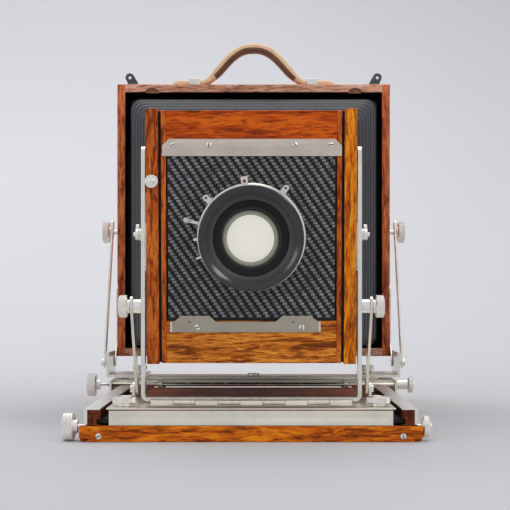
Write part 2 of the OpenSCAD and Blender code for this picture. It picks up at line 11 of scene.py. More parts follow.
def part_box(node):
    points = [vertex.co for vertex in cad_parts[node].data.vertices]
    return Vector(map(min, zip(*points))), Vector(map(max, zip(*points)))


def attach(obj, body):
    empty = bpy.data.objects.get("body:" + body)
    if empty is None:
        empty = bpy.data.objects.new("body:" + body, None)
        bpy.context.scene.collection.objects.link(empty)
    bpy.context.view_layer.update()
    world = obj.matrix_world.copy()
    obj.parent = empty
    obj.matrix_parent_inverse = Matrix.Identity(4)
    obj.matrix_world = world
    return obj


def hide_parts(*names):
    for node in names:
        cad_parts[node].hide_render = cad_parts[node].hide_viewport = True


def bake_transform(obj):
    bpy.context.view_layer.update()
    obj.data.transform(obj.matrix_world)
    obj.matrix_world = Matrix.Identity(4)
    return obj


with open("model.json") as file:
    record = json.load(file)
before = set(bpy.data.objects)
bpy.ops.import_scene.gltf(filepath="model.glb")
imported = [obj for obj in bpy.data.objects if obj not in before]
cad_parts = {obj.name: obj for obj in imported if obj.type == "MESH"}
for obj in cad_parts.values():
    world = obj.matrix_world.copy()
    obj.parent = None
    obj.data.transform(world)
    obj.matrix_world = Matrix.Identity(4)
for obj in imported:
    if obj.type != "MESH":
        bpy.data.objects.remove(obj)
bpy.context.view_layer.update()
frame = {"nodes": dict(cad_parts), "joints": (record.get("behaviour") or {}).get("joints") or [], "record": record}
MM = 0.001
NEAR = 2e-4    # a face centre this close to a plane counts as on it
joints = {j["name"]: j for j in frame["joints"]}
body_nodes = frame["record"]["behaviour"]["bodies"]
body_of = {n: b for b, nodes in body_nodes.items() for n in nodes}


def low(node):
    return Vector(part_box(node)[0])


def high(node):
    return Vector(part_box(node)[1])


def middle(node):
    return (low(node) + high(node)) / 2


# The front frame leans forward about its pivot; its own axes are used for all it holds
PIVOT = Vector(joints["front_tilt"]["pos_m"])
LENS_AXIS = Vector(joints["speed_ring_turn"]["axis"])
TILT = math.atan2(-LENS_AXIS.z, -LENS_AXIS.y)
LEAN = Matrix.Translation(PIVOT) @ Matrix.Rotation(TILT, 4, "X")
LENS_POS = Vector(joints["speed_ring_turn"]["pos_m"])
LENS_Z = (LEAN.inverted() @ LENS_POS).z
BOARD_Z = (LEAN.inverted() @ middle("lens_board")).z


# ---- Node materials ----
def new_material(name):
    mat = bpy.data.materials.new(name)
    mat.use_nodes = True
    nodes, links = mat.node_tree.nodes, mat.node_tree.links
    return mat, nodes, links, nodes["Principled BSDF"]


def coords(nodes, links, scale=(1, 1, 1), rotation=(0, 0, 0)):
    """Object coordinates in metres, scaled: the pattern sits on the part."""
    place = nodes.new("ShaderNodeTexCoord")
    mapping = nodes.new("ShaderNodeMapping")
    mapping.inputs["Scale"].default_value = scale
    mapping.inputs["Rotation"].default_value = rotation
    links.new(place.outputs["Object"], mapping.inputs["Vector"])
    return mapping.outputs["Vector"]


def noise(nodes, links, vector, scale, detail=4, rough=0.55, distortion=0.0):
    tex = nodes.new("ShaderNodeTexNoise")
    tex.inputs["Scale"].default_value = scale
    tex.inputs["Detail"].default_value = detail
    tex.inputs["Roughness"].default_value = rough
    tex.inputs["Distortion"].default_value = distortion
    links.new(vector, tex.inputs["Vector"])
    return tex.outputs["Fac"]


def ramp(nodes, links, value, stops):
    node = nodes.new("ShaderNodeValToRGB")
    elements = node.color_ramp.elements
    while len(elements) < len(stops):
        elements.new(0.5)
    for element, (at, colour) in zip(elements, stops):
        element.position = at
        element.color = (*colour, 1)
    links.new(value, node.inputs["Fac"])
    return node.outputs["Color"]


def grey(v):
    return (v, v, v)


def mix(nodes, links, fac, a, b, blend="MIX"):
    node = nodes.new("ShaderNodeMix")
    node.data_type = "RGBA"
    node.blend_type = blend
    for socket, value in ((node.inputs["Factor"], fac), (node.inputs[6], a), (node.inputs[7], b)):
        if isinstance(value, bpy.types.NodeSocket):
            links.new(value, socket)
        elif isinstance(value, tuple):
            socket.default_value = (*value, 1)
        else:
            socket.default_value = value
    return node.outputs[2]


def bump(nodes, links, height, strength, distance, under=None):
    node = nodes.new("ShaderNodeBump")
    node.inputs["Strength"].default_value = strength
    node.inputs["Distance"].default_value = distance
    links.new(height, node.inputs["Height"])
    if under is not None:
        links.new(under, node.inputs["Normal"])
    return node.outputs["Normal"]


def edge_wear_and_sheen(nodes, links):
    """Mask of convex edges, from how pointed the surface is: worn edges on most parts, painted highlights along
    the bellows' pleat ridges.
    """
    geometry = nodes.new("ShaderNodeNewGeometry")
    return ramp(nodes, links, geometry.outputs["Pointiness"], [(0.5, grey(0)), (0.6, grey(1))])


def wood(name, axis, dark, mid, light, coat=0.03):
    """Varnished mahogany, with its grain along one axis: wavy streaks, and short dark pores."""
    mat, nodes, links, shader = new_material(name)

    def along(across, length):
        scale = [1 / across] * 3
        scale[axis] = 1 / length
        return coords(nodes, links, scale)

    streaks = noise(nodes, links, along(0.0034, 0.026), 1.0, 5, 0.62, 0.9)
    figure = noise(nodes, links, along(0.012, 0.080), 1.0, 4, 0.55, 0.6)
    pores = noise(nodes, links, along(0.0019, 0.012), 1.0, 2, 0.6)
    tone = mix(nodes, links, 0.35, streaks, figure)
    colour = ramp(nodes, links, tone, [(0.42, dark), (0.5, mid), (0.58, light)])
    flecks = ramp(nodes, links, pores, [(0.35, (0.38, 0.28, 0.32)), (0.45, grey(1))])
    colour = mix(nodes, links, 0.85, colour, flecks, "MULTIPLY")
    broad = noise(nodes, links, coords(nodes, links, (11, 11, 11)), 1.0, 3, 0.5)
    colour = mix(nodes, links, 0.6, colour,
                 ramp(nodes, links, broad, [(0.32, (0.80, 0.72, 0.70)), (0.68, grey(1))]), "MULTIPLY")
    links.new(colour, shader.inputs["Base Color"])
    links.new(ramp(nodes, links, pores, [(0.3, grey(0.6)), (0.6, grey(0.38))]), shader.inputs["Roughness"])
    links.new(bump(nodes, links, pores, 0.3, 0.0002), shader.inputs["Normal"])
    shader.inputs["Specular IOR Level"].default_value = 0.14
    shader.inputs["Coat Weight"].default_value = coat
    shader.inputs["Coat Roughness"].default_value = 0.12
    return mat


def metal(name, colour, rough, brushed=None):
    """Plated or brushed metal with fine scratches along one axis, and smudges."""
    wear = 0.06
    mat, nodes, links, shader = new_material(name)
    scale = [400] * 3
    if brushed is not None:
        scale = [1400] * 3
        scale[brushed] = 12
    grain = noise(nodes, links, coords(nodes, links, scale), 1.0, 3, 0.6)
    smudge = noise(nodes, links, coords(nodes, links, (40, 40, 40)), 1.0, 4, 0.6)
    shade = ramp(nodes, links, smudge, [(0.3, tuple(c * 0.86 for c in colour)), (0.6, colour)])
    links.new(shade, shader.inputs["Base Color"])
    patchy = mix(nodes, links, 0.5, grain, smudge)
    links.new(ramp(nodes, links, patchy, [(0.3, grey(rough - wear)), (0.7, grey(rough + wear * 1.6))]),
              shader.inputs["Roughness"])
    links.new(bump(nodes, links, grain, 0.12, 0.00008), shader.inputs["Normal"])
    shader.inputs["Metallic"].default_value = 1
    return mat


def black_metal(name, value, rough, specular=0.5, edge_colour=0.16):
    """Black anodised, painted or stained surface, dusty, and lighter along its worn edges."""
    mat, nodes, links, shader = new_material(name)
    grain = noise(nodes, links, coords(nodes, links, (900, 900, 900)), 1.0, 3, 0.6)
    dust = noise(nodes, links, coords(nodes, links, (60, 60, 60)), 1.0, 5, 0.6)
    base = ramp(nodes, links, dust, [(0.3, grey(value)), (0.75, grey(value * 1.9))])
    links.new(mix(nodes, links, edge_wear_and_sheen(nodes, links), base, grey(edge_colour)), shader.inputs["Base Color"])
    links.new(ramp(nodes, links, grain, [(0.3, grey(rough - 0.06)), (0.7, grey(rough + 0.1))]),
              shader.inputs["Roughness"])
    links.new(bump(nodes, links, grain, 0.15, 0.0001), shader.inputs["Normal"])
    shader.inputs["Specular IOR Level"].default_value = specular
    return mat


def leather(name, dark, light, rough, cell, depth, edge_colour=None):
    """Leather with its pebble grain, its handled colour, and, where one is given, another colour along its edges:
    wear on the tan handle, painted highlights on the bellows' pleat ridges.
    """
    mat, nodes, links, shader = new_material(name)
    cells = nodes.new("ShaderNodeTexVoronoi")
    cells.inputs["Scale"].default_value = 1 / cell
    links.new(coords(nodes, links), cells.inputs["Vector"])
    fine = noise(nodes, links, coords(nodes, links, (1500, 1500, 1500)), 1.0, 3, 0.6)
    broad = noise(nodes, links, coords(nodes, links, (45, 45, 45)), 1.0, 5, 0.65)
    colour = ramp(nodes, links, broad, [(0.3, dark), (0.68, light)])
    links.new(mix(nodes, links, edge_wear_and_sheen(nodes, links), colour, edge_colour or dark), shader.inputs["Base Color"])
    links.new(ramp(nodes, links, fine, [(0.3, grey(rough - 0.08)), (0.7, grey(rough + 0.1))]),
              shader.inputs["Roughness"])
    height = mix(nodes, links, 0.4, cells.outputs["Distance"], fine)
    links.new(bump(nodes, links, height, 0.5, depth), shader.inputs["Normal"])
    return mat


def woven(name):
    """Black fibre bundles with fine fibres along X, their sheen painted in: grey tones that vary from bundle to
    bundle, and bright fibres.
    """
    mat, nodes, links, shader = new_material(name)
    bundle = noise(nodes, links, coords(nodes, links, (150, 150, 200)), 1.0, 2, 0.6)
    fibre = noise(nodes, links, coords(nodes, links, (260, 260, 2600)), 1.0, 2, 0.5)
    # The grey of the bundles is painted sheen on the black cloth.
    colour = ramp(nodes, links, bundle, [(0.32, (0.12, 0.123, 0.135)), (0.68, (0.36, 0.365, 0.38))])
    links.new(mix(nodes, links, 0.6, colour, ramp(nodes, links, fibre, [(0.35, grey(0.3)), (0.6, grey(1))]),
                  "MULTIPLY"), shader.inputs["Base Color"])
    links.new(bump(nodes, links, fibre, 0.4, 0.0001), shader.inputs["Normal"])
    shader.inputs["Roughness"].default_value = 0.34
    return mat


def coated_glass(name, tint):
    """Clear glass that turns greenish at a slant, as coated lenses do."""
    mat, nodes, links, shader = new_material(name)
    coat = nodes.new("ShaderNodeLayerWeight")
    coat.inputs["Blend"].default_value = 0.35
    links.new(ramp(nodes, links, coat.outputs["Facing"], [(0.2, tint), (0.9, (0.55, 0.75, 0.6))]),
              shader.inputs["Base Color"])
    shader.inputs["Transmission Weight"].default_value = 1.0
    shader.inputs["IOR"].default_value = 1.5
    shader.inputs["Roughness"].default_value = 0.0
    return mat


def frosted(name, colour, glow):
    """Ground glass with its fine etched grain, and an emission that paints the glow of light coming through it
    from behind.
    """
    mat, nodes, links, shader = new_material(name)
    grain = noise(nodes, links, coords(nodes, links, (3000, 3000, 3000)), 1.0, 2, 0.5)
    links.new(ramp(nodes, links, grain, [(0.3, tuple(c * 0.93 for c in colour)), (0.7, colour)]),
              shader.inputs["Base Color"])
    links.new(bump(nodes, links, grain, 0.1, 0.00005), shader.inputs["Normal"])
    shader.inputs["Emission Color"].default_value = (*colour, 1)
    shader.inputs["Emission Strength"].default_value = glow
    shader.inputs["Roughness"].default_value = 0.3
    return mat


# Wood tones: the grain's dark, middle and light colour
RED = ((0.25, 0.042, 0.006), (0.62, 0.120, 0.014), (0.82, 0.23, 0.03))
GOLD = ((0.22, 0.048, 0.003), (0.72, 0.20, 0.018), (0.95, 0.38, 0.05))
ORANGE = ((0.31, 0.042, 0.002), (0.60, 0.080, 0.003), (0.80, 0.15, 0.006))
# Lighter tone for the right stile: painted light, from the lamps on its right.
LIT_STILE_TONE = ((0.45, 0.10, 0.004), (0.98, 0.26, 0.005), (1.0, 0.42, 0.02))
BED_TONE = ((0.28, 0.05, 0.001), (0.72, 0.15, 0.003), (0.94, 0.30, 0.01))
SIDE_TONE = ((0.34, 0.07, 0.025), (0.76, 0.18, 0.06), (0.94, 0.29, 0.10))
HAZY_TONE = ((0.66, 0.30, 0.18), (0.98, 0.48, 0.31), (1.0, 0.62, 0.45))
CROSS_TONE = ((0.10, 0.014, 0.003), (0.33, 0.055, 0.008), (0.48, 0.11, 0.016))
DARK_TONE = ((0.04, 0.008, 0.003), (0.13, 0.025, 0.007), (0.22, 0.05, 0.014))
WOOD_X = wood("mahogany_along_x", 0, *BED_TONE)
WOOD_Y = wood("mahogany_along_y", 1, *CROSS_TONE)
WOOD_Z = wood("mahogany_along_z", 2, *RED)
BOX_X = wood("box_along_x", 0, *HAZY_TONE)
BOX_Z = wood("box_along_z", 2, *SIDE_TONE)
RAIL_WOOD = wood("rail_along_y", 1, *DARK_TONE)
CROSS_WOOD = wood("cross_along_x", 0, *CROSS_TONE)
# The right stile's lighter wood is painted light falling on it from the right.
STILE_RIGHT_LIT = wood("stile_painted_light", 2, *LIT_STILE_TONE)
PANEL_TOP = wood("panel_red", 0, *ORANGE)
PANEL_LOW = wood("panel_gold", 0, *GOLD)
# Black stain inside the box and behind the front; on the track's tongues the same black is painted shade in the
# gaps.
INNER = black_metal("black_stain_and_gap_shade", 0.008, 0.6, 0.5, 0.012)
NICKEL = metal("nickel", (0.94, 0.90, 0.82), 0.22)
KNURL = metal("nickel_knurled", (0.99, 0.96, 0.91), 0.30)
BRUSHED_X = metal("steel_along_x", (0.93, 0.89, 0.76), 0.34, 0)
BRUSHED_Y = metal("steel_along_y", (0.92, 0.90, 0.84), 0.30, 1)
BRUSHED_Z = metal("steel_along_z", (0.94, 0.91, 0.83), 0.26, 2)
AGED = metal("steel_aged", (0.50, 0.45, 0.36), 0.36, 0)
PLATED = metal("plate_aged", (0.80, 0.70, 0.60), 0.36, 0)
STEEL_DARK = metal("steel_dark", (0.30, 0.29, 0.27), 0.35)
BRASS = metal("brass", (0.62, 0.45, 0.20), 0.33)
ANODISED = black_metal("anodised", 0.012, 0.36)
SATIN_BLACK = black_metal("satin_black", 0.006, 0.17, 0.8, 0.01)
CONE_GREY = black_metal("cone_grey", 0.022, 0.42)
DEEP_BLACK = black_metal("deep_black", 0.004, 0.7)
WARP_BLACK = black_metal("warp_black", 0.006, 0.6, 0.35, 0.01)
OXIDE = black_metal("oxidised", 0.03, 0.45)
WHITE = black_metal("white_enamel", 0.8, 0.3)
RED_DOT = leather("red_enamel", (0.35, 0.03, 0.03), (0.5, 0.05, 0.04), 0.3, 0.004, 0.00001)
# The bellows' pale bluish edge colour is painted highlight along its pleat ridges, where the lamps catch them.
BELLOWS = leather("bellows_leather", (0.009, 0.010, 0.013), (0.024, 0.025, 0.031), 0.40, 0.0012,
                  0.00012, (0.13, 0.134, 0.150))
TAN = leather("tan_leather", (0.78, 0.45, 0.24), (1.0, 0.70, 0.42), 0.55, 0.0011, 0.00012,
              (1.0, 0.74, 0.48))
# Darker copy of the tan leather: painted shade on the underside of the handle's arch.
TAN_SHADED = leather("tan_leather_painted_shade", (0.12, 0.05, 0.03), (0.36, 0.17, 0.09), 0.6, 0.0011, 0.00015)
BOARD = woven("woven_black")
GLASS = coated_glass("coated_glass", (0.99, 0.98, 0.96))
# The ground glass glows by emission: painted light for the backlit glass.
FROST_GLOW = frosted("ground_glass", (0.66, 0.69, 0.66), 0.35)
# Pale emitting glass: painted light for the bright ground glass seen through the lens.
PALE_GLOW = frosted("painted_glow_glass", (0.74, 0.72, 0.68), 0.75)


# ---- Mesh helpers ----
def finish_mesh(name, bm, mats, node=None, body=None, smooth=True, angle=35, replace=True):
    """Turns bm into a piece that rides on its body and, where told, replaces its CAD node."""
    bmesh.ops.recalc_face_normals(bm, faces=bm.faces)
    mesh = bpy.data.meshes.new(name)
    bm.to_mesh(mesh)
    bm.free()
    obj = bpy.data.objects.new(name, mesh)
    bpy.context.scene.collection.objects.link(obj)
    for mat in mats if isinstance(mats, (list, tuple)) else [mats]:
        mesh.materials.append(mat)
    if smooth:
        mesh.shade_smooth()
        mesh.set_sharp_from_angle(angle=math.radians(angle))
    if node is not None and replace:
        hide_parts(node)
    if node is not None:
        body = body or body_of[node]
    if body is not None:
        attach(obj, body)
    return obj


def add_bevel(obj, width, segments=2, angle=30):
    mod = obj.modifiers.new("soft_edges", "BEVEL")
    mod.width = width
    mod.segments = segments
    mod.limit_method = "ANGLE"
    mod.angle_limit = math.radians(angle)
    mod.harden_normals = False
    return obj


def add_box(bm, lo, hi, mat=0, matrix=None):
    made = bmesh.ops.create_cube(bm, size=1)["verts"]
    lo, hi = Vector(lo), Vector(hi)
    for v in made:
        v.co = Vector([lo[i] + (v.co[i] + 0.5) * (hi[i] - lo[i]) for i in range(3)])
        if matrix is not None:
            v.co = matrix @ v.co
    for f in {f for v in made for f in v.link_faces}:
        f.material_index = mat
    return made


def lathe(bm, profile, matrix, steps=96, mat_at=None, closed=False):
    """Turns a profile of (radius, height) round local +Z. A radius of 0 closes the end."""
    rings = []
    for r, h in profile:
        if r < 1e-7:
            rings.append([bm.verts.new(matrix @ Vector((0, 0, h)))])
        else:
            rings.append([bm.verts.new(matrix @ Vector((r * math.cos(a), r * math.sin(a), h)))
                          for a in (2 * math.pi * i / steps for i in range(steps))])
    pairs = list(zip(rings, rings[1:]))
    if closed:
        pairs.append((rings[-1], rings[0]))
    for k, (a, b) in enumerate(pairs):
        for i in range(steps):
            j = (i + 1) % steps
            if len(a) == 1 and len(b) == 1:
                continue
            if len(a) == 1:
                face = bm.faces.new((a[0], b[i], b[j]))
            elif len(b) == 1:
                face = bm.faces.new((a[i], a[j], b[0]))
            else:
                face = bm.faces.new((a[i], a[j], b[j], b[i]))
            face.material_index = mat_at(k) if mat_at else 0
    return rings


def axis_matrix(origin, direction):
    """Puts local +Z along direction, at origin."""
    turn = Vector((0, 0, 1)).rotation_difference(Vector(direction)).to_matrix().to_4x4()
    return Matrix.Translation(Vector(origin)) @ turn


def soften(node, width, mats, cuts=(), pick=None, segments=2):
    """The CAD shape with rounded edges. cuts are planes (axis, value) that split its faces, so that
    pick(centre) can give each board its own grain."""
    source = frame["nodes"][node]
    bm = bmesh.new()
    bm.from_mesh(source.data)
    bmesh.ops.remove_doubles(bm, verts=bm.verts, dist=1e-6)
    for axis, value in cuts:
        normal = Vector((0, 0, 0))
        normal[axis] = 1
        bmesh.ops.bisect_plane(bm, geom=bm.verts[:] + bm.edges[:] + bm.faces[:], dist=1e-7,
                               plane_co=normal * value, plane_no=normal)
    for f in bm.faces:
        f.material_index = pick(f.calc_center_median()) if pick else 0
    bmesh.ops.dissolve_limit(bm, angle_limit=math.radians(0.5), verts=bm.verts, edges=bm.edges,
                             delimit={"MATERIAL"})
    obj = finish_mesh(node + "_skin", bm, mats, node)
    if width:
        add_bevel(obj, width, segments)
    return obj


def screw(name, origin, direction, radius, body, turn, mat=NICKEL):
    """Round head screw with a cut slot."""
    height, cut, arc_steps = radius * 0.35, radius * 0.16, 5
    m = axis_matrix(origin, direction) @ Matrix.Rotation(turn, 4, "Z")
    profile = [(radius, -height * 0.3)]
    for k in range(arc_steps):
        a = k / arc_steps * math.pi / 2
        profile.append((radius * math.cos(a), height * math.sin(a)))
    profile.append((0, height))
    head = bmesh.new()
    lathe(head, profile, m, 32)
    finish_mesh(name, head, mat, body=body)
    groove = bmesh.new()
    add_box(groove, (-radius * 0.96, -cut, height * 0.45), (radius * 0.96, cut, height * 1.02), 0, m)
    finish_mesh(name + "_slot", groove, OXIDE, body=body, smooth=False)


KNURL_PITCH = 0.00035
KNURL_ROW = 0.00032
KNURL_DEPTH = 0.00062


def knurled(name, node, direction, head, boss, extra=()):
    """Turned knob with diamond knurling on its rim. head is (radius, from, to) along direction,
    measured from the origin, boss is (radius, from), and extra holds plain cylinders."""
    radius, z0, z1 = head
    origin = middle(node)
    direction = Vector(direction)
    origin = origin - direction * origin.dot(direction)
    around = max(26, int(radius / KNURL_PITCH))
    steps = around * 4
    chamfer = 0.0009
    rows = max(10, int((z1 - z0 - 2 * chamfer) / KNURL_ROW))
    pitch = 2 * math.pi * radius / around
    bm = bmesh.new()
    m = axis_matrix(origin, direction)

    def ring(r_at, z):
        return [bm.verts.new(m @ Vector((r_at(i) * math.cos(a), r_at(i) * math.sin(a), z)))
                for i, a in ((i, 2 * math.pi * i / steps) for i in range(steps))]

    def tri(x):
        x = x % 1
        return 1 - abs(2 * x - 1)

    def diamond(z):
        def r_at(i):
            u, v = i / 4, (z - z0) / pitch
            return radius - KNURL_DEPTH * (1 - min(tri(u + v), tri(u - v)) * 1.6)
        return r_at

    dish = radius * 0.72
    rings = [ring(lambda i: boss[0], boss[1]), ring(lambda i: boss[0], z0),
             ring(lambda i: radius - chamfer - 0.0004, z0), ring(lambda i: radius - 0.0006, z0 + chamfer)]
    for k in range(rows + 1):
        z = z0 + chamfer + (z1 - z0 - 2 * chamfer) * k / rows
        rings.append(ring(diamond(z), z))
    rings += [ring(lambda i: radius - 0.0006, z1 - chamfer), ring(lambda i: radius - chamfer - 0.0004, z1),
              ring(lambda i: dish, z1), ring(lambda i: dish - 0.0006, z1 - 0.0006),
              ring(lambda i: radius * 0.2, z1 - 0.0006), ring(lambda i: radius * 0.18, z1 - 0.0002)]
    for a, b in zip(rings, rings[1:]):
        for i in range(steps):
            j = (i + 1) % steps
            bm.faces.new((a[i], a[j], b[j], b[i]))
    bm.faces.new(rings[-1])
    bm.faces.new(list(reversed(rings[0])))
    for r, a, b in extra:
        lathe(bm, [(0, a), (r, a), (r, b), (0, b)], m, 32)
    return finish_mesh(name, bm, KNURL, node, angle=24)


# ---- Camera, lights, floor ----
CAMERA_AT = Vector((0.0086, -1.5016, 0.1275))
camera_data = bpy.data.cameras.new("camera")
camera_data.sensor_width = 36
camera_data.lens = 91.765
camera_data.shift_x = -0.011765
camera_data.shift_y = 0.075882
camera = bpy.data.objects.new("camera", camera_data)
camera.location = CAMERA_AT
camera.rotation_euler = (math.radians(90), 0, 0)
bpy.context.scene.collection.objects.link(camera)
bpy.context.scene.camera = camera
bpy.context.scene.view_settings.view_transform = "Standard"


def area_light(name, location, target, size, power, colour=(1, 1, 1)):
    data = bpy.data.lights.new(name, "AREA")
    data.shape = "RECTANGLE"
    data.size, data.size_y = size
    data.energy = power
    data.color = colour
    obj = bpy.data.objects.new(name, data)
    obj.location = location
    obj.rotation_euler = (Vector(target) - Vector(location)).to_track_quat("-Z", "Y").to_euler()
    bpy.context.scene.collection.objects.link(obj)


AIM = (0, -0.1, 0.2)
area_light("key", (1.5, -1.7, 1.7), AIM, (0.8, 0.8), 9, (1.0, 0.97, 0.93))
area_light("fill", (-1.9, -1.5, 1.0), AIM, (0.7, 0.9), 4.5, (0.86, 0.91, 1.0))
area_light("top", (0.1, 0.0, 2.3), AIM, (1.8, 1.4), 7)
area_light("backdrop", (-0.7, 1.2, 2.1), (-0.7, 1.8, 0.2), (3.0, 1.2), 26)

world = bpy.data.worlds.new("studio")
bpy.context.scene.world = world
world.use_nodes = True
world.node_tree.nodes["Background"].inputs["Color"].default_value = (0.84, 0.85, 0.88, 1)
world.node_tree.nodes["Background"].inputs["Strength"].default_value = 0.75


def floor():
    """Pale floor that curves up into a backdrop far behind."""
    bm = bmesh.new()
    near, far, radius, top, half = -4.0, 0.5, 3.2, 6.0, 7.0
    profile = [(near, 0.0)]
    for k in range(33):
        a = math.radians(90 * k / 32)
        profile.append((far + radius * math.sin(a), radius * (1 - math.cos(a))))
    profile.append((far + radius, top))
    rows = [[bm.verts.new((x, y, z - 0.0002)) for x in (-half, half)] for y, z in profile]
    for a, b in zip(rows, rows[1:]):
        bm.faces.new((a[0], a[1], b[1], b[0]))
    mat, nodes, links, shader = new_material("pale_floor")
    tone = noise(nodes, links, coords(nodes, links, (0.6, 0.6, 0.6)), 1.0, 2, 0.5)
    links.new(ramp(nodes, links, tone, [(0.3, (0.60, 0.60, 0.62)), (0.7, (0.64, 0.64, 0.66))]),
              shader.inputs["Base Color"])
    shader.inputs["Roughness"].default_value = 0.7
    finish_mesh("floor", bm, mat, angle=60)


floor()

# ---- Wooden boards ----
FRONT_RAIL = -0.360
REAR_RAIL = -0.097


def bed_grain(centre):
    """0 the cross rails, 1 the side rails."""
    return 0 if centre.y < FRONT_RAIL or centre.y > REAR_RAIL else 1


soften("front_bed", 0.0009, [WOOD_X, WOOD_Y], [(1, FRONT_RAIL), (1, REAR_RAIL)], bed_grain, 3)
soften("rear_bed", 0.0009, [WOOD_X])
soften("guide_rails", 0.0006, [RAIL_WOOD])
TRACK_IN = 0.106
TRACK_OUT = 0.1225


def track_grain(centre):
    """0 rails, 1 cross boards, 2 the tongues, black as painted shade in the gap beside them."""
    x = abs(centre.x)
    return 1 if x < TRACK_IN else 2 if x > TRACK_OUT - NEAR else 0


soften("track", 0.0006, [RAIL_WOOD, CROSS_WOOD, INNER],
       [(0, s * x) for s in (-1, 1) for x in (TRACK_IN, TRACK_OUT)], track_grain)

BOX_LO, BOX_HI = low("rear_box"), high("rear_box")
WALL = 0.0093
RIM = 5e-4


def box_grain(centre):
    """0 upright sides, 1 top and bottom, 2 the black inside."""
    inside = (abs(centre.x) < BOX_HI.x - WALL + NEAR and
              BOX_LO.z + WALL - NEAR < centre.z < BOX_HI.z - WALL + NEAR)
    if inside and BOX_LO.y + RIM < centre.y < BOX_HI.y - RIM:
        return 2
    return 0 if abs(centre.x) > BOX_HI.x - WALL else 1


soften("rear_box", 0.0010, [BOX_Z, BOX_X, INNER],
       [(0, BOX_HI.x - WALL), (0, -BOX_HI.x + WALL)], box_grain, 3)


BACK_STILE = 0.127


def back_grain(centre):
    """0 the cross rails, 1 the upright stiles."""
    return 1 if abs(centre.x) > BACK_STILE else 0


for node, width in (("back_frame", 0.0012), ("glass_holder", 0.0010)):
    soften(node, width, [WOOD_X, WOOD_Z], [(0, BACK_STILE), (0, -BACK_STILE)], back_grain, 3)

STILE_IN = 0.0835


def frame_grain(centre):
    """0 left stile, 1 right stile, in a lighter wood that paints the light falling on it from the right, 2 the
    black board behind.
    """
    if abs(centre.x) < STILE_IN:
        return 2
    return 1 if centre.x > 0 else 0


soften("front_frame", 0.0010, [WOOD_Z, STILE_RIGHT_LIT, INNER], [(0, STILE_IN), (0, -STILE_IN)],
       frame_grain, 3)


def front_panel():
    """Sliding panel: upper and lower boards, narrow side strips, and the black tongues beside them."""
    half_board, strip, half, tongue = 0.0760, 0.0768, 0.0813, 0.085
    front, back = -0.0086, 0.0026
    top, bottom = 0.1120, -0.1168
    edge = 0.0006
    bm = bmesh.new()
    add_box(bm, (-strip, front, BOARD_Z + half_board), (strip, back, top - edge), 0, LEAN)
    add_box(bm, (-strip, front, bottom + edge), (strip, back, BOARD_Z - half_board), 1, LEAN)
    for s in (-1, 1):
        lo, hi = sorted((s * strip, s * half))
        add_box(bm, (lo, front + 0.0003, bottom + edge), (hi, back, top - edge), 2, LEAN)
        lo, hi = sorted((s * half, s * tongue))
        add_box(bm, (lo, -0.004, bottom + 0.001), (hi, 0.0002, top - 0.001), 3, LEAN)
    obj = finish_mesh("front_panel_boards", bm, [PANEL_TOP, PANEL_LOW, WOOD_Z, INNER], "front_panel")
    add_bevel(obj, 0.0005, 2)


front_panel()

# ---- Sheet metal ----
for node, mat, width in (
        ("track_plate", BRUSHED_X, 0.0004), ("front_carriage", BRUSHED_X, 0.0004),
        ("yoke", BRUSHED_Z, 0.0005), ("struts", BRUSHED_Z, 0.0005), ("rise_plates", BRUSHED_Z, 0.0002),
        ("side_strips", BRUSHED_Y, 0.0003), ("rear_carriage", BRUSHED_X, 0.0004),
        ("swing_plate", BRUSHED_X, 0.0004), ("rear_brackets", BRUSHED_Y, 0.0005),
        ("box_plates", BRUSHED_Z, 0.0003), ("side_arms", BRUSHED_Z, 0.0005),
        ("bed_hinges", BRASS, 0.0002), ("back_latch", NICKEL, 0.0003), ("back_springs", BRASS, 0.0002),
        ("left_tilt_lever", KNURL, 0.0004), ("right_tilt_lever", KNURL, 0.0004),
        ("frame_button", KNURL, 0.0004), ("tripod_plate", NICKEL, 0.0003),
        ("top_plate", PLATED, 0.0003),
        ("rear_pinion", NICKEL, 0.0), ("front_pinion", NICKEL, 0.0),
        ("bed_racks", STEEL_DARK, 0.0), ("track_racks", STEEL_DARK, 0.0), ("hinge_pin", STEEL_DARK, 0.0)):
    soften(node, width, [mat])

CLIP_REACH = 0.1    # the strap lugs lie further out than this, the handle's clips further in
soften("box_hardware", 0.0004, [OXIDE, NICKEL], (), lambda c: 0 if abs(c.x) > CLIP_REACH else 1)
soften("ground_glass", 0.0002, [FROST_GLOW])

# ---- Knobs: (radius, from, to) of each head, and (radius, from) of its boss ----
knurled("front_focus_knob_turned", "front_focus_knob", (-1, 0, 0), (0.012, 0.1535, 0.1635),
        (0.006, 0.1505))
knurled("front_lock_knob_turned", "front_lock_knob", (1, 0, 0), (0.0093, 0.149, 0.155),
        (0.005, 0.1483), [(0.0025, 0.1548, 0.1568)])
knurled("rear_focus_knob_turned", "rear_focus_knob", (-1, 0, 0), (0.0127, 0.1733, 0.1838),
        (0.0055, 0.1693))
knurled("rear_lock_knob_turned", "rear_lock_knob", (1, 0, 0), (0.009, 0.1713, 0.1769),
        (0.005, 0.171), [(0.002, 0.1768, 0.1786)])
for side, s in (("left", -1), ("right", 1)):
    knurled(side + "_strut_knob_turned", side + "_strut_knob", (s, 0, 0), (0.010, 0.1122, 0.1202),
            (0.0062, 0.1102), [(0.003, 0.0962, 0.1103), (0.0066, 0.0998, 0.1069)])
    knurled(side + "_arm_knob_turned", side + "_arm_knob", (s, 0, 0), (0.0124, 0.170, 0.178),
            (0.006, 0.1684), [(0.0026, 0.1588, 0.1685)])
    node = side + "_clamp_knob"
    z = low(node).z
    knurled(node + "_turned", node, (0, 0, 1), (0.0104, z + 0.0022, z + 0.0087), (0.0065, z))
    node = side + "_swing_knob"
    z = high(node).z
    knurled(node + "_turned", node, (0, 0, 1), (0.0077, z - 0.006, z), (0.005, z - 0.0086),
            [(0.0026, z - 0.0178, z - 0.0085)])


